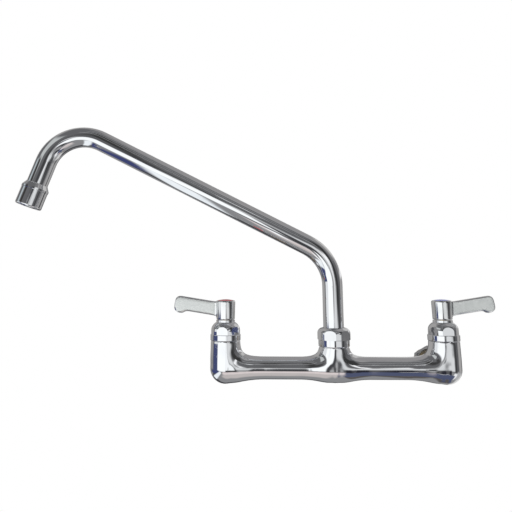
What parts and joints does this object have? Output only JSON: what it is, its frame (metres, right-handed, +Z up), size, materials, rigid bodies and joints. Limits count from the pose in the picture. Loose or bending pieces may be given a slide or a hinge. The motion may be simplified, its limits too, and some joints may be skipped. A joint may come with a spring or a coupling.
{
  "type": "wall faucet",
  "caption": "Wall-mounted mixing faucet with a lever valve at each side of a cast body and a long bent tube spout that swings on the body's centre.",
  "frame": {"origin": "on the wall face, midway between the axes of the two inlet shanks, at the height of the body's arms", "axes": "+X along the body towards the cold (right) side as the user sees it, +Y back into the wall, +Z up"},
  "size_m": [0.4465, 0.1039, 0.2413],
  "materials": {
    "chrome": "polished chrome plate over cast brass",
    "lever_metal": "satin chrome plate on the blade, polished hub",
    "hot_index": "glossy red",
    "cold_index": "glossy blue",
    "brass": "machined brass",
    "nut_plate": "nickel plate over brass",
    "steel": "stainless steel",
    "rubber": "matt black rubber",
    "disc": "lapped white ceramic",
    "glide_plastic": "natural acetal"
  },
  "bodies": {
    "faucet": {"faucet_body": "chrome", "spout_nut": "chrome", "spout_glide_ring": "glide_plastic", "hot_inlet_shank": "brass", "hot_wall_gasket": "rubber", "hot_mounting_washer": "steel", "hot_locknut": "nut_plate", "hot_bonnet": "chrome", "hot_cartridge_housing": "brass", "hot_seat_seal": "rubber", "hot_fixed_disc": "disc", "cold_inlet_shank": "brass", "cold_wall_gasket": "rubber", "cold_mounting_washer": "steel", "cold_locknut": "nut_plate", "cold_bonnet": "chrome", "cold_cartridge_housing": "brass", "cold_seat_seal": "rubber", "cold_fixed_disc": "disc"},
    "spout": {"spout_tube": "chrome", "spout_ferrule": "brass", "spout_seals": "rubber", "outlet_fitting": "chrome", "aerator_shell": "chrome", "aerator_screen": "steel", "aerator_washer": "rubber"},
    "hot_handle": {"hot_lever": "lever_metal", "hot_stem": "brass", "hot_moving_disc": "disc", "hot_stem_seal": "rubber", "hot_lever_screw": "steel", "hot_index_button": "hot_index"},
    "cold_handle": {"cold_lever": "lever_metal", "cold_stem": "brass", "cold_moving_disc": "disc", "cold_stem_seal": "rubber", "cold_lever_screw": "steel", "cold_index_button": "cold_index"}
  },
  "joints": [
    {"name": "spout_swivel", "type": "hinge", "parent": "faucet", "child": "spout", "pos_m": [0, -0.03, 0.03], "axis": [0, 0, 1], "continuous": true},
    {"name": "hot_valve", "type": "hinge", "parent": "faucet", "child": "hot_handle", "pos_m": [-0.1016, -0.03, 0.04], "axis": [0, 0, 1], "range_deg": [0, 90]},
    {"name": "cold_valve", "type": "hinge", "parent": "faucet", "child": "cold_handle", "pos_m": [0.1016, -0.03, 0.04], "axis": [0, 0, 1], "range_deg": [-90, 0]}
  ]
}
